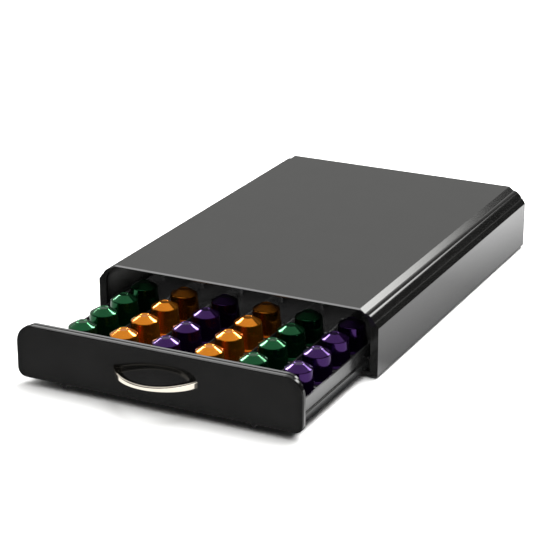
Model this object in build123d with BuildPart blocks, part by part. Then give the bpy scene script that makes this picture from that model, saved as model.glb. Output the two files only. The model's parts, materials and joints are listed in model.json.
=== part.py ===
from build123d import *
import os

os.makedirs("parts", exist_ok=True)

# Coffee pod drawer: a flat case that stands under a coffee machine, with one
# wide drawer of six pod lanes. Millimetres, +X to the right, +Y to the back, +Z up.
# Z = 0 is the table. The origin is under the middle of the whole drawer as it
# stands open, so the case front lies at case_front and everything follows it.

# ---------------------------------------------------------------- driving sizes
# case
case_width = 296.0
case_depth = 403.0
case_height = 67.0
side_height = 50.3
case_wall = 2.6
# edge moulding round the top, from the flat top outwards and down
bevel_width = 5.3
bevel_drop = 3.9
ledge_width = 1.6
ovolo_width = 8.2
ovolo_drop = 9.5
ovolo_bulge = 1.7
skirt_bevel_width = 3.8
# mouth of the case
rim_depth = 3.0
rim_width = 7.7
rim_top_web = 2.2
rim_bottom_web = 3.4
mouth_radius = 16.0
# base, back, feet and their screws
base_thickness = 2.4
back_thickness = 2.6
back_boss_spacing = 120.0
back_boss_size = 8.0
boss_radius = 3.0
boss_height = 8.0
boss_end_inset = 9.0
boss_rows = 3
foot_height = 3.0
foot_length = 36.0
foot_width = 12.0
foot_side_inset = 4.0
foot_end_inset = 15.0
screw_shank_radius = 1.25
screw_head_radius = 2.5
screw_head_height = 1.7
screw_bite = 5.5
# drawer tray
opening = 148.0
further_travel = 148.0
lane_count = 6
lane_side_room = 14.5
tray_wall = 1.6
tray_floor = 2.0
floor_top = 16.9
tray_wall_top = 29.3
front_wall_thickness = 3.0
front_wall_inset = 4.6
front_wall_radius = 14.0
runner_width = 3.2
runner_ledge = 1.7
runner_bottom = 7.7
runner_top = 15.4
runner_relief = 1.0
runner_relief_length = 28.0
lug_length = 1.6
lug_height = 6.5
# lane dividers and the cross fins that centre the pods
divider_thickness = 1.5
divider_height = 12.2
fin_reach = 3.45
fin_thickness = 1.2
fin_pitch = 39.7
fin_first = 42.7
# rails that carry the drawer
rail_wall = 2.0
rail_foot_width = 14.0
rail_front_gap = 6.0
rail_screw_rows = 3
rail_screw_inset = 4.0
rail_screw_end = 34.0
stop_length = 8.0
stop_height = 7.0
# front panel
face_side_gap = 3.5
face_height = 51.8
face_bottom = 7.5
face_thickness = 4.4
face_top_radius = 18.0
face_bottom_radius = 8.5
face_edge_radius = 1.2
spacer_thickness = 1.8
spacer_inset = 3.0
nub_spacing = 192.0
nub_root_width = 6.0
nub_tip_width = 2.0
nub_drop = 3.2
nub_thickness = 3.2
bumper_radius = 1.5
bumper_thickness = 0.8
bumper_rise = 22.0
panel_screw_radius = 1.5
panel_screw_head_radius = 3.0
panel_screw_head_height = 1.8
panel_screw_bite = 3.0
panel_screw_spacing = 222.0
panel_screw_rise = 22.0
# handle
handle_screw_spacing = 74.5
handle_width = 84.6
handle_reach = 25.5
handle_depth = 5.0
handle_foot_depth = 8.0
handle_height = 4.4
handle_droop = 0.8
handle_foot_height = 8.2
handle_z = 34.2
handle_edge_radius = 1.5
handle_screw_radius = 1.4
handle_screw_head_radius = 2.8
handle_screw_head_height = 2.0
handle_screw_bite = 3.6
# pods
pod_flange_radius = 18.5
pod_flange_thickness = 1.0
pod_base_radius = 15.2
pod_shoulder_radius = 13.1
pod_shoulder_height = 23.2
pod_cone_radius = 12.4
pod_cone_height = 24.2
pod_top_radius = 5.0
pod_height = 28.6
pod_wall = 1.0
pod_pitch = 38.6
pod_first = 50.9
pods_per_lane = 4
# clearances
slide_gap = 0.3
lip_gap = 0.5
fit_gap = 0.1
thread_gap = 0.05
back_gap = 2.5

# --------------------------------------------------------------- derived places
half_width = case_width / 2
face_width = case_width - 2 * face_side_gap
lanes_half = half_width - lane_side_room
lane_pitch = 2 * lanes_half / lane_count
case_front = (opening + face_thickness + handle_reach - case_depth) / 2
case_back = case_front + case_depth
base_bottom = foot_height
base_top = base_bottom + base_thickness
inner_half = half_width - case_wall
inner_top = case_height - case_wall
top_half = half_width - bevel_width - ledge_width - ovolo_width - skirt_bevel_width
mouth_half = half_width - rim_width
mouth_top = case_height - rim_top_web
mouth_bottom = base_bottom + rim_bottom_web
back_front = case_back - back_thickness

face_back = case_front - opening
face_front = face_back - face_thickness
face_top = face_bottom + face_height
face_mid = face_bottom + face_height / 2
wall_front = face_back + spacer_thickness
lanes_front = wall_front + front_wall_thickness
closing_travel = opening - bumper_thickness
tray_back = back_front - back_gap - closing_travel
lanes_back = tray_back - tray_wall
tray_half = lanes_half + tray_wall / 2
runner_half = tray_half + runner_ledge
front_wall_half = face_width / 2 - front_wall_inset
floor_bottom = floor_top - tray_floor

rail_inner = runner_half + slide_gap
rail_outer = rail_inner + rail_wall
rail_floor = runner_bottom - slide_gap
rail_lip_bottom = runner_top + slide_gap
rail_lip_top = rail_lip_bottom + rail_wall
rail_front = case_front + rail_front_gap
rail_back = back_front - fit_gap
stop_back = tray_back - lug_length - further_travel - slide_gap

fin_count = int((lanes_back - lanes_front - fin_first) / fin_pitch) + 1
fin_y = [lanes_front + fin_first + row * fin_pitch for row in range(fin_count)]
lane_x = [(lane + 0.5) * lane_pitch - lanes_half for lane in range(lane_count)]
divider_x = [(lane + 1) * lane_pitch - lanes_half for lane in range(lane_count - 1)]
sides = (("left", -1), ("right", 1))

boss_x = inner_half - boss_radius + fit_gap
boss_run = case_depth - 2 * boss_end_inset
boss_y = [case_front + boss_end_inset + boss_run * row / (boss_rows - 1) for row in range(boss_rows)]
shell_screws = [(side * boss_x, y) for _, side in sides for y in boss_y]
back_screws = [
    (side * back_boss_spacing / 2, back_front - back_boss_size / 2) for _, side in sides
]
base_screw_points = shell_screws + back_screws
rail_screw_x = rail_outer - rail_foot_width + rail_screw_inset
rail_screw_run = case_depth - 2 * rail_screw_end
rail_screw_y = [
    case_front + rail_screw_end + rail_screw_run * row / (rail_screw_rows - 1)
    for row in range(rail_screw_rows)
]
rail_screw_points = [(side * rail_screw_x, y) for _, side in sides for y in rail_screw_y]
panel_screw_points = [
    (side * panel_screw_spacing / 2, face_mid + rise * panel_screw_rise / 2)
    for _, side in sides
    for rise in (-1, 1)
]
handle_screw_points = [(side * handle_screw_spacing / 2, handle_z) for _, side in sides]
bumper_x = mouth_half + (face_width / 2 - mouth_half) / 2
bumper_points = [
    (side * bumper_x, face_mid + rise * bumper_rise / 2) for _, side in sides for rise in (-1, 1)
]


def across(y):
    """A plane that stands across the drawer at y, seen from the front."""
    return Plane.XZ.offset(-y)


# ------------------------------------------------------------------- case shell
# One moulded shell: flat top, moulded edge and plain sides, with a rim turned
# in round the mouth. The back end and the underside are open for their covers.
bevel_foot = (top_half + bevel_width, case_height - bevel_drop)
ovolo_head = (bevel_foot[0] + ledge_width, bevel_foot[1])
ovolo_foot = (ovolo_head[0] + ovolo_width, ovolo_head[1] - ovolo_drop)
ovolo_mid = (
    (ovolo_head[0] + ovolo_foot[0]) / 2 + ovolo_bulge * 0.76,
    (ovolo_head[1] + ovolo_foot[1]) / 2 + ovolo_bulge * 0.65,
)
with BuildPart() as case_shell:
    with BuildSketch(across(case_front)):
        with BuildLine():
            Polyline((0, case_height), (top_half, case_height), bevel_foot, ovolo_head)
            ThreePointArc(ovolo_head, ovolo_mid, ovolo_foot)
            Polyline(ovolo_foot, (half_width, side_height), (half_width, base_bottom), (0, base_bottom))
            mirror(about=Plane.YZ)
        make_face()
    extrude(amount=-case_depth)
    with BuildSketch(across(case_front + rim_depth)):
        with BuildLine():
            Polyline(
                (0, inner_top),
                (top_half + bevel_width - case_wall, inner_top),
                (inner_half, side_height - case_wall / 2),
                (inner_half, base_bottom),
                (0, base_bottom),
            )
            mirror(about=Plane.YZ)
        make_face()
    extrude(amount=-case_depth, mode=Mode.SUBTRACT)
    with BuildSketch(across(case_front)) as mouth:
        with Locations((0, (mouth_top + mouth_bottom) / 2)):
            Rectangle(2 * mouth_half, mouth_top - mouth_bottom)
        fillet(mouth.vertices().group_by(Axis.Y)[-1], mouth_radius)
    extrude(amount=-rim_depth, mode=Mode.SUBTRACT)
    with BuildSketch(Plane.XY.offset(base_top)):
        with Locations(*shell_screws):
            Circle(boss_radius)
    extrude(amount=boss_height)
    with BuildSketch(Plane.XY.offset(base_top)):
        with Locations(*shell_screws):
            Circle(screw_shank_radius + thread_gap)
    extrude(amount=screw_bite + fit_gap, mode=Mode.SUBTRACT)
case_shell.part.label = "case_shell"
export_step(case_shell.part, "parts/case_shell.step")

# ------------------------------------------------------------------- base plate
# Closes the underside between the side walls, under the screw bosses.
base_front = case_front + rim_depth + fit_gap
base_half = inner_half - fit_gap
with BuildPart() as base_plate:
    with BuildSketch(Plane.XY.offset(base_bottom)):
        with Locations((0, (base_front + case_back) / 2)):
            Rectangle(2 * base_half, case_back - base_front)
        with Locations(*base_screw_points, *rail_screw_points):
            Circle(screw_shank_radius + thread_gap, mode=Mode.SUBTRACT)
    extrude(amount=base_thickness)
base_plate.part.label = "base_plate"
export_step(base_plate.part, "parts/base_plate.step")

# ------------------------------------------------------------------- back panel
# Fills the back end of the shell and stands on the base plate, with two bosses
# low enough for the drawer floor to pass over.
with BuildPart() as back_panel:
    with BuildSketch(across(back_front)):
        with BuildLine():
            Polyline(
                (0, inner_top - fit_gap),
                (top_half + bevel_width - case_wall - fit_gap, inner_top - fit_gap),
                (inner_half - fit_gap, side_height - case_wall / 2 - fit_gap),
                (inner_half - fit_gap, base_top),
                (0, base_top),
            )
            mirror(about=Plane.YZ)
        make_face()
    extrude(amount=-back_thickness)
    with BuildSketch(Plane.XY.offset(base_top)):
        with Locations(*back_screws):
            Rectangle(back_boss_size, back_boss_size)
    extrude(amount=boss_height)
    with BuildSketch(Plane.XY.offset(base_top)):
        with Locations(*back_screws):
            Circle(screw_shank_radius + thread_gap)
    extrude(amount=screw_bite + fit_gap, mode=Mode.SUBTRACT)
back_panel.part.label = "back_panel"
export_step(back_panel.part, "parts/back_panel.step")

# ------------------------------------------------------------------ base screws
with BuildPart() as base_screws:
    with BuildSketch(Plane.XY.offset(base_bottom - screw_head_height)):
        with Locations(*base_screw_points):
            Circle(screw_head_radius)
    extrude(amount=screw_head_height)
    with BuildSketch(Plane.XY.offset(base_bottom)):
        with Locations(*base_screw_points):
            Circle(screw_shank_radius)
    extrude(amount=base_thickness + screw_bite)
base_screws.part.label = "base_screws"
export_step(base_screws.part, "parts/base_screws.step")

# ------------------------------------------------------------------ rubber feet
foot_x = half_width - foot_side_inset - foot_width / 2
foot_run = foot_end_inset + foot_length / 2
for end, foot_y in (("front", case_front + foot_run), ("rear", case_back - foot_run)):
    for side_name, side in sides:
        with BuildPart() as foot:
            with BuildSketch(Plane.XY):
                with Locations((side * foot_x, foot_y)):
                    SlotOverall(foot_length, foot_width, rotation=90)
            extrude(amount=foot_height)
        foot.part.label = f"foot_{end}_{side_name}"
        export_step(foot.part, f"parts/foot_{end}_{side_name}.step")

# ---------------------------------------------------------------------- runners
# A channel rail on each side: the runner slides on its floor, its lip keeps the
# open drawer from tipping, and the stop on its lip ends the travel.
for side_name, side in sides:
    with BuildPart() as rail:
        with BuildSketch(across(rail_front)):
            foot_centre = side * (rail_outer - rail_foot_width / 2)
            with Locations((foot_centre, (base_top + rail_floor) / 2)):
                Rectangle(rail_foot_width, rail_floor - base_top)
            with Locations((side * (rail_inner + rail_outer) / 2, (base_top + rail_lip_top) / 2)):
                Rectangle(rail_wall, rail_lip_top - base_top)
            lip_inner = tray_half + lip_gap
            with Locations((side * (lip_inner + rail_outer) / 2, (rail_lip_bottom + rail_lip_top) / 2)):
                Rectangle(rail_outer - lip_inner, rail_wall)
        extrude(amount=rail_front - rail_back)
        with BuildSketch(Plane.XY.offset(rail_lip_top)):
            with Locations((side * (lip_inner + rail_outer) / 2, stop_back - stop_length / 2)):
                Rectangle(rail_outer - lip_inner, stop_length)
        extrude(amount=stop_height)
        with BuildSketch(Plane.XY.offset(base_top)):
            with Locations(*[(side * rail_screw_x, y) for y in rail_screw_y]):
                Circle(screw_shank_radius + thread_gap)
        extrude(amount=rail_floor - base_top, mode=Mode.SUBTRACT)
    rail.part.label = f"rail_{side_name}"
    export_step(rail.part, f"parts/rail_{side_name}.step")

with BuildPart() as rail_screws:
    with BuildSketch(Plane.XY.offset(base_bottom + fit_gap)):
        with Locations(*rail_screw_points):
            Circle(screw_shank_radius)
    extrude(amount=rail_floor - base_bottom - fit_gap)
    with BuildSketch(Plane.XY.offset(rail_floor)):
        with Locations(*rail_screw_points):
            Circle(screw_head_radius)
    extrude(amount=screw_head_height)
rail_screws.part.label = "rail_screws"
export_step(rail_screws.part, "parts/rail_screws.step")

# ------------------------------------------------------------------ drawer tray
# Floor, low side walls on their runners, a back wall, and a tall front wall that
# the front panel is screwed to. Short fins on the side walls centre the pods.
with BuildPart() as drawer_tray:
    with BuildSketch(across(lanes_front)):
        with Locations((0, (floor_bottom + floor_top) / 2)):
            Rectangle(2 * tray_half, tray_floor)
        for _, side in sides:
            with Locations((side * lanes_half, (floor_bottom + tray_wall_top) / 2)):
                Rectangle(tray_wall, tray_wall_top - floor_bottom)
            with Locations((side * (runner_half - runner_width / 2), (runner_bottom + runner_top) / 2)):
                Rectangle(runner_width, runner_top - runner_bottom)
    extrude(amount=lanes_front - tray_back)
    with BuildSketch(across(lanes_back)):
        with Locations((0, (floor_bottom + tray_wall_top) / 2)):
            Rectangle(2 * tray_half, tray_wall_top - floor_bottom)
    extrude(amount=-tray_wall)
    with BuildSketch(across(wall_front)) as front_wall:
        with Locations((0, (runner_bottom + face_top) / 2)):
            Rectangle(2 * front_wall_half, face_top - runner_bottom)
        fillet(front_wall.vertices().group_by(Axis.Y)[-1], front_wall_radius)
    extrude(amount=-front_wall_thickness)
    with BuildSketch(Plane.XY.offset(runner_bottom)):
        for _, side in sides:
            with Locations((side * (runner_half - runner_width / 2), lanes_front + runner_relief_length / 2)):
                Rectangle(runner_width, runner_relief_length)
    extrude(amount=runner_relief, mode=Mode.SUBTRACT)
    lug_bottom = rail_lip_top + lip_gap
    with BuildSketch(Plane.XY.offset(lug_bottom)):
        for _, side in sides:
            with Locations((side * (tray_half + rail_outer) / 2, tray_back - lug_length / 2)):
                Rectangle(rail_outer - tray_half, lug_length)
    extrude(amount=lug_height)
    with BuildSketch(Plane.XY.offset(floor_top)):
        for _, side in sides:
            with Locations(*[(side * (lanes_half - fin_reach / 2), y) for y in fin_y]):
                Rectangle(fin_reach, fin_thickness)
    extrude(amount=divider_height)
    with BuildSketch(across(wall_front)):
        with Locations(*panel_screw_points):
            Circle(panel_screw_radius + thread_gap)
        with Locations(*handle_screw_points):
            Circle(handle_screw_radius + thread_gap)
    extrude(amount=-front_wall_thickness, mode=Mode.SUBTRACT)
drawer_tray.part.label = "drawer_tray"
export_step(drawer_tray.part, "parts/drawer_tray.step")

# ---------------------------------------------------------------- lane dividers
# Five thin ribs with the same cross fins on both sides, standing on the floor.
divider_length = lanes_back - lanes_front - 2 * fit_gap
with BuildPart() as lane_dividers:
    with BuildSketch(Plane.XY.offset(floor_top)):
        with Locations(*[(x, (lanes_front + lanes_back) / 2) for x in divider_x]):
            Rectangle(divider_thickness, divider_length)
        with Locations(*[(x, y) for x in divider_x for y in fin_y]):
            Rectangle(2 * fin_reach, fin_thickness)
    extrude(amount=divider_height)
lane_dividers.part.label = "lane_dividers"
export_step(lane_dividers.part, "parts/lane_dividers.step")

# ------------------------------------------------------------------ front panel
# Overlaps the mouth on all sides. A spacer behind it leaves a shadow gap to the
# tray wall, and two small nubs hang from its lower edge.
with BuildPart() as front_panel:
    with BuildSketch(across(face_front)) as face:
        with Locations((0, face_mid)):
            Rectangle(face_width, face_height)
        fillet(face.vertices().group_by(Axis.Y)[-1], face_top_radius)
        fillet(face.vertices().group_by(Axis.Y)[0], face_bottom_radius)
    extrude(amount=-face_thickness)
    fillet(front_panel.faces().sort_by(Axis.Y)[0].edges(), face_edge_radius)
    with BuildSketch(across(face_back)) as spacer:
        with Locations((0, (runner_bottom + face_top) / 2)):
            Rectangle(
                2 * (front_wall_half - spacer_inset),
                face_top - runner_bottom - 2 * spacer_inset,
            )
        fillet(spacer.vertices().group_by(Axis.Y)[-1], front_wall_radius - spacer_inset)
    extrude(amount=-spacer_thickness)
    nub_root = face_bottom + face_edge_radius
    with BuildSketch(across(face_back)):
        for _, side in sides:
            nub_x = side * nub_spacing / 2
            with BuildLine():
                Polyline(
                    (nub_x - nub_root_width / 2, nub_root),
                    (nub_x - nub_root_width / 2, face_bottom),
                    (nub_x - nub_tip_width / 2, face_bottom - nub_drop),
                    (nub_x + nub_tip_width / 2, face_bottom - nub_drop),
                    (nub_x + nub_root_width / 2, face_bottom),
                    (nub_x + nub_root_width / 2, nub_root),
                    close=True,
                )
            make_face()
    extrude(amount=nub_thickness)
    with BuildSketch(across(wall_front)):
        with Locations(*panel_screw_points):
            Circle(panel_screw_radius + thread_gap)
    extrude(amount=panel_screw_bite + fit_gap, mode=Mode.SUBTRACT)
    with BuildSketch(across(wall_front)):
        with Locations(*handle_screw_points):
            Circle(handle_screw_radius + thread_gap)
    extrude(amount=spacer_thickness + face_thickness, mode=Mode.SUBTRACT)
front_panel.part.label = "front_panel"
export_step(front_panel.part, "parts/front_panel.step")

with BuildPart() as panel_screws:
    with BuildSketch(across(lanes_front)):
        with Locations(*panel_screw_points):
            Circle(panel_screw_radius)
    extrude(amount=front_wall_thickness + panel_screw_bite)
    with BuildSketch(across(lanes_front)):
        with Locations(*panel_screw_points):
            Circle(panel_screw_head_radius)
    extrude(amount=-panel_screw_head_height)
panel_screws.part.label = "panel_screws"
export_step(panel_screws.part, "parts/panel_screws.step")

with BuildPart() as closing_bumpers:
    with BuildSketch(across(face_back)):
        with Locations(*bumper_points):
            Circle(bumper_radius)
    extrude(amount=-bumper_thickness)
closing_bumpers.part.label = "closing_bumpers"
export_step(closing_bumpers.part, "parts/closing_bumpers.step")

# ----------------------------------------------------------------------- handle
# A bow between two arcs in plan. It is slimmest in the middle and grows to its
# feet, which stand flat on the panel and take a screw each.
outer_half = handle_width / 2
inner_half_span = outer_half - handle_foot_depth
inner_reach = handle_reach - handle_depth
foot_top = handle_z + handle_foot_height / 2
foot_bottom = handle_z - handle_foot_height / 2
bar_top = handle_z - handle_droop + handle_height / 2
bar_bottom = bar_top - handle_height
with BuildPart() as handle:
    with BuildSketch(Plane.XY.offset(handle_z)):
        with BuildLine():
            outer_tip = (0, face_front - handle_reach)
            inner_tip = (0, face_front - inner_reach)
            ThreePointArc((-outer_half, face_front), outer_tip, (outer_half, face_front))
            Line((outer_half, face_front), (inner_half_span, face_front))
            ThreePointArc((inner_half_span, face_front), inner_tip, (-inner_half_span, face_front))
            Line((-inner_half_span, face_front), (-outer_half, face_front))
        make_face()
    extrude(amount=handle_foot_height, both=True)
    with BuildSketch(across(face_front)):
        with BuildLine():
            ThreePointArc((-outer_half, foot_top), (0, bar_top), (outer_half, foot_top))
            Line((outer_half, foot_top), (outer_half, foot_bottom))
            ThreePointArc((outer_half, foot_bottom), (0, bar_bottom), (-outer_half, foot_bottom))
            Line((-outer_half, foot_bottom), (-outer_half, foot_top))
        make_face()
    extrude(amount=2 * handle_reach, mode=Mode.INTERSECT)
    fillet(handle.edges().filter_by_position(Axis.Y, -1000, face_front - 1), handle_edge_radius)
    with BuildSketch(across(face_front)):
        with Locations(*handle_screw_points):
            Circle(handle_screw_radius + thread_gap)
    extrude(amount=handle_screw_bite + fit_gap, mode=Mode.SUBTRACT)
handle.part.label = "handle"
export_step(handle.part, "parts/handle.step")

with BuildPart() as handle_screws:
    with BuildSketch(across(lanes_front)):
        with Locations(*handle_screw_points):
            Circle(handle_screw_radius)
    extrude(amount=lanes_front - face_front + handle_screw_bite)
    with BuildSketch(across(lanes_front)):
        with Locations(*handle_screw_points):
            Circle(handle_screw_head_radius)
    extrude(amount=-handle_screw_head_height)
handle_screws.part.label = "handle_screws"
export_step(handle_screws.part, "parts/handle_screws.step")

# ------------------------------------------------------------------------- pods
# A thin-walled capsule standing on its flange: tapered body, bevelled shoulder,
# shallow cone and a small flat top. One row of them stands in each lane.
with BuildPart() as pod:
    with BuildSketch(Plane.XZ):
        with BuildLine():
            Polyline(
                (0, pod_height),
                (pod_top_radius, pod_height),
                (pod_cone_radius, pod_cone_height),
                (pod_shoulder_radius, pod_shoulder_height),
                (pod_base_radius, pod_flange_thickness),
                (pod_flange_radius, pod_flange_thickness),
                (pod_flange_radius, 0),
                (pod_base_radius - pod_wall, 0),
                (pod_shoulder_radius - pod_wall, pod_shoulder_height),
                (0, pod_shoulder_height),
                close=True,
            )
        make_face()
    revolve(axis=Axis.Z)

for lane, x in enumerate(lane_x, start=1):
    with BuildPart() as pod_row:
        rows = [(x, lanes_front + pod_first + row * pod_pitch, floor_top) for row in range(pods_per_lane)]
        with Locations(*rows):
            add(pod.part)
    pod_row.part.label = f"pods_lane_{lane}"
    export_step(pod_row.part, f"parts/pods_lane_{lane}.step")
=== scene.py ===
import json
import math

import bmesh
import bpy
from mathutils import Matrix, Vector

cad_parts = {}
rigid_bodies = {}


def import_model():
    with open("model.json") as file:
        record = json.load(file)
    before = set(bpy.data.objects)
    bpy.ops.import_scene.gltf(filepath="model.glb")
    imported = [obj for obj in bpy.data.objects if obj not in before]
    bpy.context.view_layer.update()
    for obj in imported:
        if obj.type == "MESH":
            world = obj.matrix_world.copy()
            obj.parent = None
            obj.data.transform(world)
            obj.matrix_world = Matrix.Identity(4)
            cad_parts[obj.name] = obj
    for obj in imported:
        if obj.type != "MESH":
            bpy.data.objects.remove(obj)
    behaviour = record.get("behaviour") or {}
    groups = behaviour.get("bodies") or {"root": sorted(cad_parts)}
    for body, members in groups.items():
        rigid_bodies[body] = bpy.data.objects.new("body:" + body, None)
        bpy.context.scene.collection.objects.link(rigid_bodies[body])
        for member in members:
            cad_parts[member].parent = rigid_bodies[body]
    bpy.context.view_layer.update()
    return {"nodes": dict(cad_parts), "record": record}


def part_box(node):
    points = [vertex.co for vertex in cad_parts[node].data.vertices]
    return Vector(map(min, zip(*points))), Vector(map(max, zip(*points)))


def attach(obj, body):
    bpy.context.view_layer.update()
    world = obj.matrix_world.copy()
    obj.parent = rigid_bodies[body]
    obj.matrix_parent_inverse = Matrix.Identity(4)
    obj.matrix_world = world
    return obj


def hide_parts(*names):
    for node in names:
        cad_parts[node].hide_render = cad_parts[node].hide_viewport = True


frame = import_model()
nodes = frame["nodes"]

# ------------------------------------------------------------------ small helpers


def deselect_all():
    for obj in bpy.context.selected_objects:
        obj.select_set(False)


def only(obj):
    deselect_all()
    obj.select_set(True)
    bpy.context.view_layer.objects.active = obj


def paint(obj, material):
    obj.data.materials.clear()
    obj.data.materials.append(material)


# ------------------------------------------------------------- shader node groups


def group_tree(name, inputs, outputs):
    """An empty shader group: inputs are (name, default), outputs are (name, socket type)."""
    tree = bpy.data.node_groups.new(name, "ShaderNodeTree")
    for title, default in inputs:
        socket = tree.interface.new_socket(
            name=title, in_out="INPUT", socket_type="NodeSocketFloat"
        )
        socket.default_value = default
    for title, kind in outputs:
        tree.interface.new_socket(name=title, in_out="OUTPUT", socket_type=kind)
    return tree, tree.nodes.new("NodeGroupInput"), tree.nodes.new("NodeGroupOutput")


def math_node(tree, operation, first, second=None):
    node = tree.nodes.new("ShaderNodeMath")
    node.operation = operation
    for socket, value in zip(node.inputs, (first, second)):
        if value is None:
            continue
        if isinstance(value, (int, float)):
            socket.default_value = value
        else:
            tree.links.new(value, socket)
    return node.outputs[0]


def spread(tree, value, low, high, to_low=0.0, to_high=1.0):
    """Stretches a value from low..high to to_low..to_high, and clamps it there."""
    node = tree.nodes.new("ShaderNodeMapRange")
    node.clamp = True
    tree.links.new(value, node.inputs["Value"])
    ends = {"From Min": low, "From Max": high, "To Min": to_low, "To Max": to_high}
    for title, number in ends.items():
        if isinstance(number, (int, float)):
            node.inputs[title].default_value = number
        else:
            tree.links.new(number, node.inputs[title])
    return node.outputs["Result"]


def noise(tree, place, scale, detail=3.0, roughness=0.55):
    node = tree.nodes.new("ShaderNodeTexNoise")
    tree.links.new(place, node.inputs["Vector"])
    if isinstance(scale, (int, float)):
        node.inputs["Scale"].default_value = scale
    else:
        tree.links.new(scale, node.inputs["Scale"])
    node.inputs["Detail"].default_value = detail
    node.inputs["Roughness"].default_value = roughness
    return node.outputs["Fac"]


def make_moulded_skin():
    """Polished mouldings: a fine orange peel, soft wipe marks and a few specks of dust."""
    tree, given, out = group_tree(
        "moulded_skin",
        [("Peel Scale", 420.0), ("Smear Scale", 9.0), ("Dust Scale", 900.0), ("Dust Amount", 0.5)],
        [("Height", "NodeSocketFloat"), ("Smear", "NodeSocketFloat"), ("Dust", "NodeSocketFloat")],
    )
    place = tree.nodes.new("ShaderNodeTexCoord").outputs["Object"]
    peel = noise(tree, place, given.outputs["Peel Scale"], detail=2.0)
    wave = noise(tree, place, 28.0, detail=1.0)
    fine = math_node(tree, "MULTIPLY", peel, 0.35)
    broad = math_node(tree, "MULTIPLY", wave, 0.65)
    height = math_node(tree, "ADD", fine, broad)
    stretch = tree.nodes.new("ShaderNodeMapping")
    stretch.inputs["Scale"].default_value = (1.0, 0.35, 1.0)
    tree.links.new(place, stretch.inputs["Vector"])
    wipes = noise(tree, stretch.outputs["Vector"], given.outputs["Smear Scale"], detail=5.0)
    smear = spread(tree, wipes, 0.35, 0.7)
    specks = tree.nodes.new("ShaderNodeTexVoronoi")
    tree.links.new(place, specks.inputs["Vector"])
    tree.links.new(given.outputs["Dust Scale"], specks.inputs["Scale"])
    dots = spread(tree, specks.outputs["Distance"], 0.04, 0.09, 1.0, 0.0)
    thin = spread(tree, noise(tree, place, 60.0, detail=2.0), 0.56, 0.62)
    patchy = math_node(tree, "MULTIPLY", dots, thin)
    dust = math_node(tree, "MULTIPLY", patchy, given.outputs["Dust Amount"])
    tree.links.new(height, out.inputs["Height"])
    tree.links.new(smear, out.inputs["Smear"])
    tree.links.new(dust, out.inputs["Dust"])
    return tree


def make_edge_rub():
    """Where corners stand proud they are rubbed a little paler."""
    tree, given, out = group_tree(
        "edge_rub",
        [("Start", 0.515), ("End", 0.56), ("Patchiness", 40.0)],
        [("Rub", "NodeSocketFloat")],
    )
    point = tree.nodes.new("ShaderNodeNewGeometry").outputs["Pointiness"]
    place = tree.nodes.new("ShaderNodeTexCoord").outputs["Object"]
    rub = spread(tree, point, given.outputs["Start"], given.outputs["End"])
    patches = noise(tree, place, given.outputs["Patchiness"])
    broken = spread(tree, patches, 0.3, 0.65, 0.35, 1.0)
    tree.links.new(math_node(tree, "MULTIPLY", rub, broken), out.inputs["Rub"])
    return tree


moulded_skin = make_moulded_skin()
edge_rub = make_edge_rub()


# ---------------------------------------------------------------------- materials


class Finish:
    """A material with a Principled shader, and short ways to feed it."""

    def __init__(self, name):
        self.material = bpy.data.materials.new(name)
        self.material.use_nodes = True
        self.tree = self.material.node_tree
        self.shader = self.tree.nodes["Principled BSDF"]

    def set(self, **values):
        for title, value in values.items():
            self.shader.inputs[title.replace("_", " ")].default_value = value

    def feed(self, title, output):
        self.tree.links.new(output, self.shader.inputs[title])

    def group(self, tree, **values):
        node = self.tree.nodes.new("ShaderNodeGroup")
        node.node_tree = tree
        for title, value in values.items():
            node.inputs[title.replace("_", " ")].default_value = value
        return node

    def mix(self, mask, dark, light):
        node = self.tree.nodes.new("ShaderNodeMix")
        node.data_type = "RGBA"
        self.tree.links.new(mask, node.inputs["Factor"])
        for socket, value in ((node.inputs["A"], dark), (node.inputs["B"], light)):
            if isinstance(value, tuple):
                socket.default_value = (*value, 1.0)
            else:
                self.tree.links.new(value, socket)
        return node.outputs["Result"]

    def bump(self, height, strength, distance):
        node = self.tree.nodes.new("ShaderNodeBump")
        node.inputs["Strength"].default_value = strength
        node.inputs["Distance"].default_value = distance
        self.tree.links.new(height, node.inputs["Height"])
        self.feed("Normal", node.outputs["Normal"])


DUST_COLOUR = (0.16, 0.16, 0.155)


def black_plastic(name, body, gloss, worn, specular, peel=0.012, dust=0.4):
    finish = Finish(name)
    skin = finish.group(moulded_skin, Dust_Amount=dust)
    rub = finish.group(edge_rub)
    wiped = tuple(c * 0.92 for c in body)
    hazed = tuple(c * 1.1 for c in body)
    paler = tuple(c * 1.6 + 0.002 for c in body)
    clean = finish.mix(skin.outputs["Smear"], wiped, hazed)
    rubbed = finish.mix(rub.outputs["Rub"], clean, paler)
    finish.feed("Base Color", finish.mix(skin.outputs["Dust"], rubbed, DUST_COLOUR))
    finish.feed("Roughness", spread(finish.tree, skin.outputs["Smear"], 0.0, 1.0, gloss, worn))
    finish.set(Specular_IOR_Level=specular, IOR=1.5)
    finish.bump(skin.outputs["Height"], peel, 0.002)
    return finish.material


case_gloss = black_plastic(
    "case_gloss", (0.0045, 0.0045, 0.0043),
    gloss=0.08, worn=0.1, specular=0.5, peel=0.006, dust=0.04,
)
panel_gloss = black_plastic(
    "panel_gloss", (0.004, 0.004, 0.0038),
    gloss=0.1, worn=0.12, specular=0.4, peel=0.006, dust=0.06,
)
tray_gloss = black_plastic(
    "tray_gloss", (0.006, 0.006, 0.006), gloss=0.12, worn=0.16, specular=0.5
)
case_satin = black_plastic(
    "case_satin", (0.012, 0.012, 0.012), gloss=0.32, worn=0.45, specular=0.4, peel=0.12
)
foot_rubber = black_plastic(
    "foot_rubber", (0.014, 0.014, 0.014), gloss=0.6, worn=0.8, specular=0.3, peel=0.3
)


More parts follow.
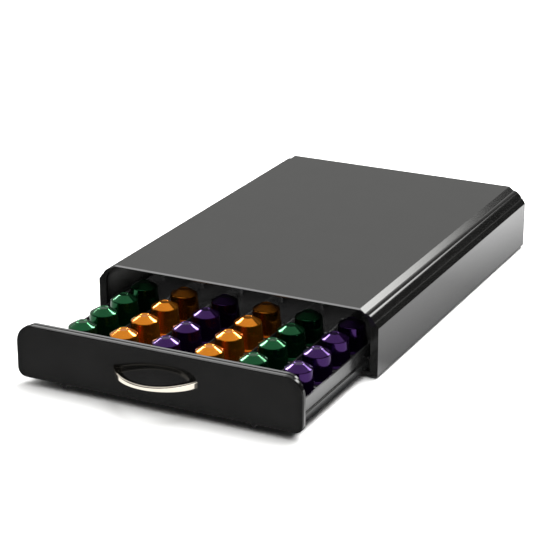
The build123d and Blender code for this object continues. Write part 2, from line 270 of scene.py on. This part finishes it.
def foil(name, colour, deep):
    """Coloured aluminium foil drawn into a cup: lacquered metal with faint draw lines round it."""
    finish = Finish(name)
    tree = finish.tree
    place = tree.nodes.new("ShaderNodeTexCoord").outputs["Object"]
    stretch = tree.nodes.new("ShaderNodeMapping")
    stretch.inputs["Scale"].default_value = (0.25, 0.25, 2.0)
    tree.links.new(place, stretch.inputs["Vector"])
    lines = noise(tree, stretch.outputs["Vector"], 500.0, detail=2.0)
    tone = spread(tree, noise(tree, place, 45.0, detail=2.0), 0.3, 0.7)
    finish.feed("Base Color", finish.mix(tone, deep, colour))
    finish.feed("Roughness", spread(tree, tone, 0.0, 1.0, 0.1, 0.15))
    finish.set(Metallic=0.92, Coat_Weight=0.28, Coat_Roughness=0.08)
    finish.bump(lines, 0.03, 0.0003)
    return finish.material


pod_green = foil("pod_green", (0.0025, 0.088, 0.026), (0.002, 0.07, 0.02))
pod_gold = foil("pod_gold", (0.76, 0.25, 0.01), (0.7, 0.21, 0.008))
pod_purple = foil("pod_purple", (0.042, 0.008, 0.1), (0.034, 0.006, 0.082))


def brushed(name, colour, low, high):
    """Bare metal with fine brush lines, a little paler where edges are rubbed."""
    finish = Finish(name)
    tree = finish.tree
    place = tree.nodes.new("ShaderNodeTexCoord").outputs["Object"]
    stretch = tree.nodes.new("ShaderNodeMapping")
    stretch.inputs["Scale"].default_value = (1.0, 1.0, 6.0)
    tree.links.new(place, stretch.inputs["Vector"])
    lines = noise(tree, stretch.outputs["Vector"], 260.0, detail=4.0)
    rub = finish.group(edge_rub)
    paler = tuple(min(1.0, c * 1.1) for c in colour)
    finish.feed("Base Color", finish.mix(rub.outputs["Rub"], colour, paler))
    finish.feed("Roughness", spread(tree, lines, 0.3, 0.7, low, high))
    finish.set(Metallic=1.0)
    finish.bump(lines, 0.04, 0.0004)
    return finish.material


handle_nickel = brushed("handle_nickel", (0.78, 0.72, 0.62), low=0.03, high=0.06)
screw_steel = brushed("screw_steel", (0.5, 0.5, 0.49), low=0.22, high=0.38)

NODE_FINISH = {
    "case_shell": case_gloss,
    "back_panel": case_gloss,
    "base_plate": case_satin,
    "base_screws": screw_steel,
    "foot_front_left": foot_rubber,
    "foot_front_right": foot_rubber,
    "foot_rear_left": foot_rubber,
    "foot_rear_right": foot_rubber,
    "rail_left": case_satin,
    "rail_right": case_satin,
    "rail_screws": screw_steel,
    "drawer_tray": tray_gloss,
    "lane_dividers": tray_gloss,
    "front_panel": panel_gloss,
    "panel_screws": screw_steel,
    "closing_bumpers": foot_rubber,
    "handle": handle_nickel,
    "handle_screws": screw_steel,
    "pods_lane_1": pod_green,
    "pods_lane_2": pod_gold,
    "pods_lane_3": pod_purple,
    "pods_lane_4": pod_gold,
    "pods_lane_5": pod_green,
    "pods_lane_6": pod_purple,
}
for name, finish in NODE_FINISH.items():
    paint(nodes[name], finish)


# ------------------------------------------------------- softened moulding edges


MERGE_DISTANCE = 0.00001
FLAT_ANGLE = math.radians(0.5)
SMOOTH_ANGLE = math.radians(40.0)
EDGE_SEGMENTS = 3
SAME_PLACE = 0.0003
ROUND_FOOT_DEPTH = 0.0134  # from the flat top down to the foot of the moulded round
LAST_BEVEL_WIDTH = 0.0038
FOOT_MOVED_OUT = 0.0006
FOOT_LIFTED = 0.0016
LIP_BREAK = 0.0013


def near(value, target):
    return abs(value - target) < SAME_PLACE


def steepen_last_bevel(mesh):
    """Moves the foot of the moulded round out and up, so that the bevel below it stands steeper."""
    low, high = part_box("case_shell")
    for vertex in mesh.verts:
        at_foot = near(vertex.co.z, high[2] - ROUND_FOOT_DEPTH)
        if at_foot and near(abs(vertex.co.x), high[0] - LAST_BEVEL_WIDTH):
            vertex.co.x += math.copysign(FOOT_MOVED_OUT, vertex.co.x)
            vertex.co.z += FOOT_LIFTED


def break_front_lip(mesh):
    """Breaks the front edge of the flat top, where it turns down into the mouth."""
    low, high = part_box("case_shell")
    lip = [
        edge for edge in mesh.edges
        if all(near(v.co.y, low[1]) and near(v.co.z, high[2]) for v in edge.verts)
    ]
    bmesh.ops.bevel(mesh, geom=lip, offset=LIP_BREAK, segments=1, affect="EDGES")


def shape(piece, *steps):
    mesh = bmesh.new()
    mesh.from_mesh(piece.data)
    for step in steps:
        step(mesh)
    mesh.to_mesh(piece.data)
    mesh.free()


def soften(name, width, angle=24.0, steps=()):
    """A copy of a moulding with its edges rounded as they leave the mould. It replaces the node."""
    source = nodes[name]
    piece = source.copy()
    piece.data = source.data.copy()
    piece.parent = None
    piece.name = name + "_soft"
    for key in list(piece.keys()):
        del piece[key]
    bpy.context.scene.collection.objects.link(piece)
    only(piece)
    bpy.ops.object.mode_set(mode="EDIT")
    bpy.ops.mesh.select_all(action="SELECT")
    bpy.ops.mesh.remove_doubles(threshold=MERGE_DISTANCE)
    bpy.ops.mesh.dissolve_limited(angle_limit=FLAT_ANGLE)
    bpy.ops.object.mode_set(mode="OBJECT")
    shape(piece, *steps)
    bevel = piece.modifiers.new("edges", "BEVEL")
    bevel.width = width
    bevel.segments = EDGE_SEGMENTS
    bevel.limit_method = "ANGLE"
    bevel.angle_limit = math.radians(angle)
    bevel.use_clamp_overlap = True
    bpy.ops.object.modifier_apply(modifier="edges")
    bpy.ops.object.shade_smooth_by_angle(angle=SMOOTH_ANGLE)
    flat = piece.modifiers.new("flat_faces", "WEIGHTED_NORMAL")
    flat.mode = "FACE_AREA"
    flat.weight = 100
    flat.keep_sharp = True
    bpy.ops.object.modifier_apply(modifier="flat_faces")
    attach(piece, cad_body(name))
    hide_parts(name)


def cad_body(name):
    bodies = frame["record"]["behaviour"]["bodies"]
    return next(body for body, members in bodies.items() if name in members)


soften("case_shell", width=0.0006, angle=14.0, steps=(steepen_last_bevel, break_front_lip))
soften("drawer_tray", width=0.0005)
soften("lane_dividers", width=0.0004)
soften("base_plate", width=0.0004)

# ---------------------------------------------------------------------- foil pods

POD_SEGMENTS = 72
POD_SMOOTH_ANGLE = math.radians(50.0)
WIDEST_RING = 3
LANES = 6
ROWS = 4
# Radius and height in millimetres, from the underside of the flange to the recess on top.
POD_RINGS = (
    (17.9, 0.0), (18.3, 0.1), (18.5, 0.35), (18.5, 0.65), (18.3, 0.92), (17.9, 1.0), (17.2, 0.94),
    (16.0, 0.92), (15.6, 1.0), (15.32, 1.25), (15.2, 1.7), (14.7, 6.5), (14.1, 13.0), (13.5, 19.0),
    (13.16, 22.5), (13.12, 23.0), (13.05, 23.35), (12.85, 23.7), (12.62, 23.95), (12.35, 24.2),
    (11.9, 24.5), (9.0, 26.22), (6.0, 28.02), (5.5, 28.32), (5.15, 28.5), (4.75, 28.6),
    (4.3, 28.55), (4.0, 28.38), (3.8, 28.14), (3.5, 28.02), (2.2, 28.0), (1.7, 28.12),
    (1.2, 28.16), (0.6, 28.16),
)


def lathe(name, rings, segments):
    """A round piece drawn up ring by ring from its underside, closed at both ends."""
    deselect_all()
    radius, foot = rings[0]
    bpy.ops.mesh.primitive_circle_add(
        vertices=segments, radius=radius / 1000, fill_type="NGON", location=(0.0, 0.0, foot / 1000)
    )
    piece = bpy.context.object
    piece.name = name
    bpy.ops.object.transform_apply(location=True, rotation=True, scale=True)
    bpy.ops.object.mode_set(mode="EDIT")
    bpy.ops.mesh.select_all(action="SELECT")
    for (wide, low), (next_wide, high) in zip(rings, rings[1:]):
        rise = (0.0, 0.0, (high - low) / 1000)
        bpy.ops.mesh.extrude_region_move(TRANSFORM_OT_translate={"value": rise})
        growth = next_wide / wide
        bpy.ops.transform.resize(
            value=(growth, growth, 1.0), center_override=(0.0, 0.0, high / 1000)
        )
    bpy.ops.mesh.select_all(action="DESELECT")
    bpy.ops.mesh.select_mode(type="EDGE")
    bpy.ops.mesh.select_non_manifold(
        use_wire=False, use_multi_face=False, use_non_contiguous=False, use_verts=False
    )
    bpy.ops.mesh.edge_face_add()
    bpy.ops.mesh.select_all(action="SELECT")
    bpy.ops.mesh.normals_make_consistent(inside=False)
    bpy.ops.object.mode_set(mode="OBJECT")
    bpy.ops.object.shade_smooth_by_angle(angle=POD_SMOOTH_ANGLE)
    return piece


def fill_lanes():
    """Copies one lathed pod down each lane, and joins each row into the piece for its node."""
    pattern = lathe("foil_pod", POD_RINGS, POD_SEGMENTS)
    for lane in range(1, LANES + 1):
        node = f"pods_lane_{lane}"
        low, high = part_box(node)
        x = (low[0] + high[0]) / 2
        reach = POD_RINGS[WIDEST_RING][0] / 1000
        first, last = low[1] + reach, high[1] - reach
        row = []
        for step in range(ROWS):
            pod = pattern.copy()
            pod.name = f"foil_pod_{lane}_{step + 1}"
            pod.data = pattern.data.copy()
            y = first + (last - first) * step / (ROWS - 1)
            pod.data.transform(Matrix.Translation((x, y, low[2])))
            bpy.context.scene.collection.objects.link(pod)
            row.append(pod)
        only(row[0])
        for pod in row:
            pod.select_set(True)
        bpy.ops.object.join()
        joined = row[0]
        joined.name = f"foil_pods_{lane}"
        paint(joined, NODE_FINISH[node])
        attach(joined, "drawer")
        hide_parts(node)
    bpy.data.objects.remove(pattern)


fill_lanes()

# -------------------------------------------------------------- floor and backdrop


def make_floor():
    deselect_all()
    bpy.ops.mesh.primitive_plane_add(size=30.0, location=(0.0, 0.0, 0.0))
    floor = bpy.context.object
    floor.name = "floor"
    floor.visible_glossy = False
    finish = Finish("floor_paper")
    place = finish.tree.nodes.new("ShaderNodeTexCoord").outputs["Object"]
    grain = noise(finish.tree, place, 6.0)
    finish.feed("Base Color", finish.mix(grain, (0.86, 0.86, 0.86), (0.9, 0.9, 0.9)))
    finish.set(Roughness=0.9, Specular_IOR_Level=0.1)
    paint(floor, finish.material)


make_floor()

# -------------------------------------------------------------------------- light


def softbox(name, place, target, width, height, watts, in_reflections=True):
    data = bpy.data.lights.new(name, "AREA")
    data.shape = "RECTANGLE"
    data.size = width
    data.size_y = height
    data.energy = watts
    lamp = bpy.data.objects.new(name, data)
    lamp.location = place
    lamp.rotation_euler = (Vector(target) - Vector(place)).to_track_quat("-Z", "Y").to_euler()
    lamp.visible_camera = False
    lamp.visible_glossy = in_reflections
    bpy.context.scene.collection.objects.link(lamp)
    return lamp


def only_for(lamp, pieces):
    """Lets a lamp light only these pieces."""
    lit = bpy.data.collections.new(lamp.name + "_only")
    for piece in pieces:
        lit.objects.link(piece)
    lamp.light_linking.receiver_collection = lit


def soft_copies(*names):
    return [bpy.data.objects[name + "_soft"] for name in names]


def light_pieces():
    """One soft lamp overhead, and small lamps that each light only the pieces named beside them."""
    middle, drawer = (0.0, 0.0, 0.0), (0.0, -0.2, 0.05)
    inner = [nodes["back_panel"], *soft_copies("case_shell", "drawer_tray", "lane_dividers")]
    rims = [nodes["front_panel"], *soft_copies("case_shell", "drawer_tray", "lane_dividers")]
    edges = [nodes["front_panel"], *soft_copies("drawer_tray", "lane_dividers")]
    pods = [bpy.data.objects[f"foil_pods_{lane}"] for lane in range(1, LANES + 1)]
    handle = [nodes["handle"]]
    softbox(
        "overhead", (0.25, 0.35, 1.5), middle,
        width=1.4, height=1.4, watts=46.0, in_reflections=False,
    )
    # name, place, target, width, height, watts, seen in reflections, pieces it lights
    for *lamp, pieces in (
        ("paper_glow", (-0.1, -0.935, 0.002), (-0.1, -0.935, 1.0), 4.0, 1.33, 18.0, True, handle),
        ("mouth_fill", (0.0, -0.104, 0.05), (0.0, 0.2, 0.05), 0.24, 0.02, 1.1, False, inner),
        ("glint_right", (0.185, 0.967, 0.974), drawer, 0.2, 0.45, 8.0, True, pods),
        ("glint_left", (-1.07, 0.37, 0.93), drawer, 0.18, 0.5, 8.0, True, pods),
        ("paper_left", (-0.45, -0.05, 0.002), (-0.45, -0.05, 1.0), 0.58, 0.7, 1.15, True, pods),
        ("rim_glow", (-0.63, -0.68, 1.32), (0.0, -0.15, 0.06), 0.8, 0.8, 12.0, True, rims),
        ("edge_glow", (-0.53, 0.8, 0.52), (0.0, -0.26, 0.065), 0.75, 0.3, 0.9, True, edges),
        ("front_fill", (0.65, -1.6, 0.75), (0.0, 0.0, 0.04), 0.6, 0.6, 12.0, False, inner),
    ):
        only_for(softbox(*lamp), pieces)


def reflector_card():
    """What glossy plastic sees low down, not the floor: dark in front, bright on the right."""
    deselect_all()
    bpy.ops.mesh.primitive_grid_add(
        x_subdivisions=120, y_subdivisions=120, size=3.0, location=(0.0, 0.0, 0.0004)
    )
    card = bpy.context.object
    card.name = "reflector_card"
    material = bpy.data.materials.new("reflector_card")
    material.use_nodes = True
    tree = material.node_tree
    tree.nodes.remove(tree.nodes["Principled BSDF"])
    split = tree.nodes.new("ShaderNodeSeparateXYZ")
    tree.links.new(tree.nodes.new("ShaderNodeTexCoord").outputs["Object"], split.inputs["Vector"])
    x, y = split.outputs["X"], split.outputs["Y"]
    right = spread(tree, x, 0.146, 0.152)
    close = spread(tree, x, 0.146, 0.195, 0.5, 1.0)
    front_half = spread(tree, y, -0.08, 0.15, 1.15, 1.35)
    back_half = spread(tree, y, 0.15, 0.36, 0.0, 1.15)
    along = math_node(tree, "ADD", front_half, back_half)
    in_front_of_case = spread(tree, y, -0.13, -0.07, 2.2, 0.0)
    next_to_drawer = spread(tree, x, 0.165, 0.18, 1.0, 0.0)
    drawer = math_node(tree, "MULTIPLY", in_front_of_case, next_to_drawer)
    beside = math_node(tree, "ADD", along, drawer)
    side = math_node(tree, "MULTIPLY", math_node(tree, "MULTIPLY", close, beside), right)
    front = spread(tree, y, -0.30, -0.25, 0.31, 0.08)
    left = math_node(tree, "SUBTRACT", 1.0, right)
    strength = math_node(tree, "ADD", side, math_node(tree, "MULTIPLY", front, left))
    glow = tree.nodes.new("ShaderNodeEmission")
    tree.links.new(strength, glow.inputs["Strength"])
    tree.links.new(glow.outputs[0], tree.nodes["Material Output"].inputs["Surface"])
    paint(card, material)
    card.visible_camera = False
    card.visible_diffuse = False
    card.visible_shadow = False


light_pieces()
reflector_card()


DARKEST_SHARE = 0.05
MATTE_BOOST = 2.1  # how much more of the sky matte surfaces get than reflections show


def sky_box(tree, split, heading, elevation, half_width, half_height, soft, strength):
    """A softbox in the sky, soft at its rim. Heading is from +Y towards +X, all in degrees."""
    turn = math_node(tree, "ARCTAN2", split.outputs["X"], split.outputs["Y"])
    off = math_node(tree, "ABSOLUTE", math_node(tree, "SUBTRACT", turn, math.radians(heading)))
    rise = math_node(tree, "ARCSINE", split.outputs["Z"])
    above = math_node(tree, "ABSOLUTE", math_node(tree, "SUBTRACT", rise, math.radians(elevation)))
    side, side_end = math.radians(half_width), math.radians(half_width + soft)
    top, top_end = math.radians(half_height), math.radians(half_height + soft)
    across = spread(tree, off, side, side_end, 1.0, 0.0)
    upright = spread(tree, above, top, top_end, 1.0, 0.0)
    return math_node(tree, "MULTIPLY", math_node(tree, "MULTIPLY", across, upright), strength)


def make_world():
    """A sky bright at the back left and high up, dark elsewhere, with a softbox at the back."""
    world = bpy.data.worlds.new("studio")
    world.use_nodes = True
    tree = world.node_tree
    place = tree.nodes.new("ShaderNodeTexCoord").outputs["Generated"]
    split = tree.nodes.new("ShaderNodeSeparateXYZ")
    tree.links.new(place, split.inputs["Vector"])
    x, y, z = (split.outputs[axis] for axis in "XYZ")
    heading = math_node(tree, "ARCTAN2", x, y)
    bright = spread(tree, z, 0.28, 0.42, 0.49, 0.76)
    not_right = spread(tree, heading, math.radians(-8.0), math.radians(8.0), 1.0, 0.0)
    not_front = spread(tree, heading, math.radians(-115.0), math.radians(-95.0), 0.03, 1.0)
    back_left = math_node(tree, "MINIMUM", not_right, not_front)
    high_up = spread(tree, z, 0.6, 0.8)
    share = math_node(tree, "MAXIMUM", back_left, high_up)
    glow = math_node(tree, "MULTIPLY", bright, math_node(tree, "MAXIMUM", share, DARKEST_SHARE))
    window = sky_box(
        tree, split,
        heading=21.0, elevation=33.5, half_width=7.5, half_height=6.0, soft=4.0, strength=9.0,
    )
    glow = math_node(tree, "ADD", glow, window)
    background = tree.nodes["Background"]
    matte = tree.nodes.new("ShaderNodeLightPath").outputs["Is Diffuse Ray"]
    boost = spread(tree, matte, 0.0, 1.0, 1.0, MATTE_BOOST)
    tree.links.new(math_node(tree, "MULTIPLY", glow, boost), background.inputs["Strength"])
    background.inputs["Color"].default_value = (1.0, 1.0, 0.98, 1.0)
    bpy.context.scene.world = world


make_world()

# ------------------------------------------------------------------------- camera


def make_camera():
    data = bpy.data.cameras.new("photo_camera")
    data.sensor_width = 36.0
    data.lens = 128.86
    data.clip_end = 50.0
    camera = bpy.data.objects.new("photo_camera", data)
    camera.location = (0.78174, -1.62007, 0.71652)
    camera.rotation_euler = (math.radians(69.55), 0.0, math.radians(26.27))
    bpy.context.scene.collection.objects.link(camera)
    bpy.context.scene.camera = camera


make_camera()
bpy.context.scene.view_settings.view_transform = "Standard"
